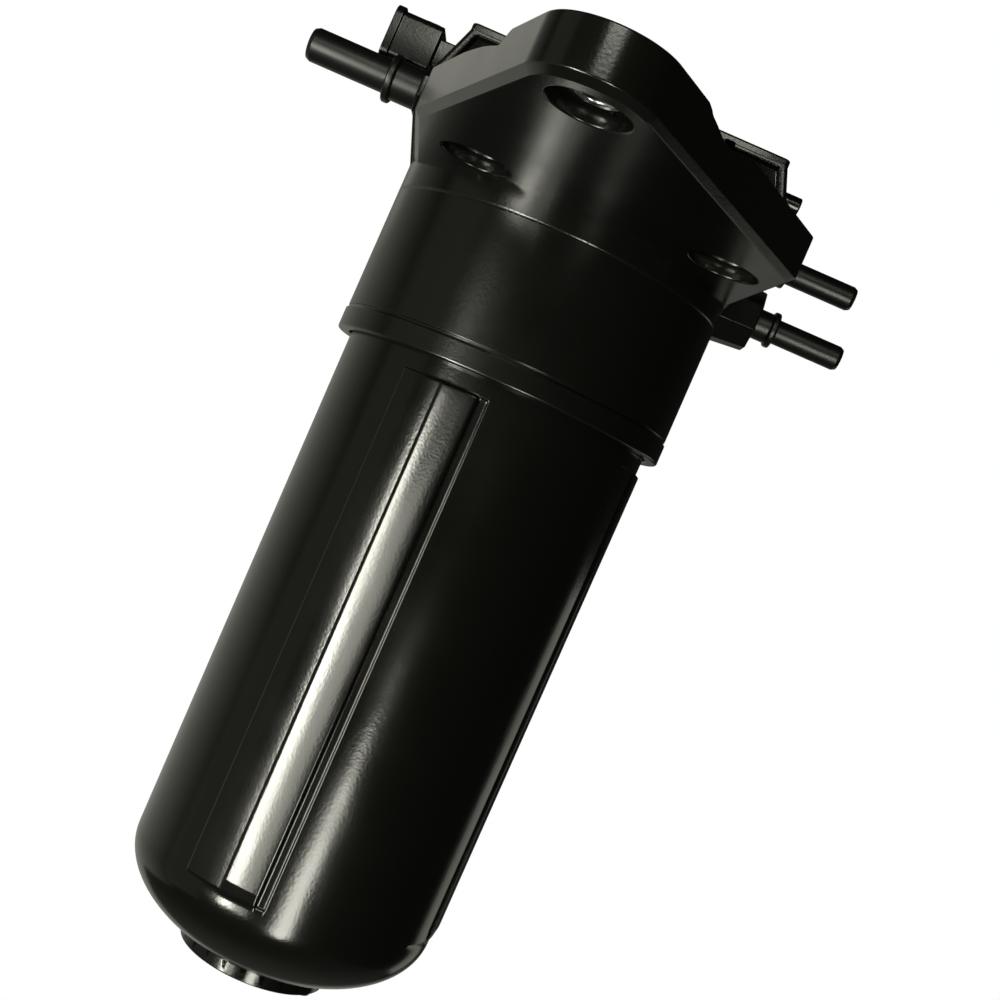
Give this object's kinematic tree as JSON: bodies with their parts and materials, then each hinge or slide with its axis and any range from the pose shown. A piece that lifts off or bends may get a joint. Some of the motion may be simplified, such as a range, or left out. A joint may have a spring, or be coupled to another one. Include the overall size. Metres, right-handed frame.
{
  "type": "fuel pump",
  "caption": "Electric fuel feed pump in a flanged head with quick-connect stems, a socket and a bayonet filter canister with a drain tap below it.",
  "frame": {"origin": "on the flange's mounting face, at the mean of the three bolt axes", "axes": "+Z out of the mounting face, the canister hangs along -Z, the flange reaches forward along -Y"},
  "size_m": [0.178, 0.214, 0.2602],
  "materials": {
    "head_plastic": "semi-gloss",
    "stem_plastic": "semi-gloss",
    "canister_plastic": "gloss",
    "inner_plastic": "satin",
    "steel": "zinc plated",
    "rubber": "matte",
    "tinned_brass": "tinned",
    "bronze": "sintered",
    "copper": "enamelled",
    "lead_sheath": "matte",
    "magnet": "ground",
    "carbon": "matte",
    "filter_paper": "pleated"
  },
  "bodies": {
    "head": {"mounting_flange": "head_plastic", "filter_collar": "head_plastic", "filter_spigot": "head_plastic", "pump_chamber": "head_plastic", "pump_cover": "head_plastic", "cover_seal": "rubber", "cover_screws": "steel", "bolt_sleeves": "steel", "inlet_stem": "stem_plastic", "outlet_stem": "stem_plastic", "return_stem": "stem_plastic", "stem_seals": "rubber", "connector_shell": "head_plastic", "connector_terminals": "tinned_brass", "motor_leads": "lead_sheath", "motor_can": "steel", "field_magnets": "magnet", "motor_isolators": "rubber", "brush_holder": "inner_plastic", "carbon_brushes": "carbon", "brush_springs": "steel", "motor_bushes": "bronze", "pump_base_plate": "inner_plastic", "pump_inlet_cover": "inner_plastic", "outlet_link_seal": "rubber", "valve_seat": "steel", "valve_spring": "steel", "neck_seal": "rubber"},
    "rotor": {"motor_shaft": "steel", "armature_core": "steel", "armature_windings": "copper", "commutator": "copper", "impeller": "inner_plastic"},
    "poppet": {"valve_poppet": "inner_plastic"},
    "canister": {"canister_shell": "canister_plastic", "element_top_cap": "inner_plastic", "element_seal": "rubber", "element_core": "inner_plastic", "filter_media": "filter_paper", "element_bottom_cap": "inner_plastic"},
    "drain": {"drain_tap": "canister_plastic", "drain_seal": "rubber"}
  },
  "joints": [
    {"name": "canister_turn", "type": "hinge", "parent": "head", "child": "canister", "pos_m": [-0.0035, 0.075, -0.05], "axis": [0, 0, -1], "range_deg": [0, 50]},
    {"name": "drain_turn", "type": "hinge", "parent": "canister", "child": "drain", "pos_m": [-0.0035, 0.075, -0.221], "axis": [0, 0, -1], "range_deg": [0, 90]},
    {"name": "rotor_spin", "type": "hinge", "parent": "head", "child": "rotor", "pos_m": [0, 0.1, 0.0113], "axis": [1, 0, 0], "continuous": true},
    {"name": "poppet_slide", "type": "slide", "parent": "head", "child": "poppet", "axis": [0, 1, 0], "range_m": [0, 0.0025], "stiffness_N_per_m": 150, "springref_m": -0.004, "deforming": ["valve_spring"]}
  ]
}
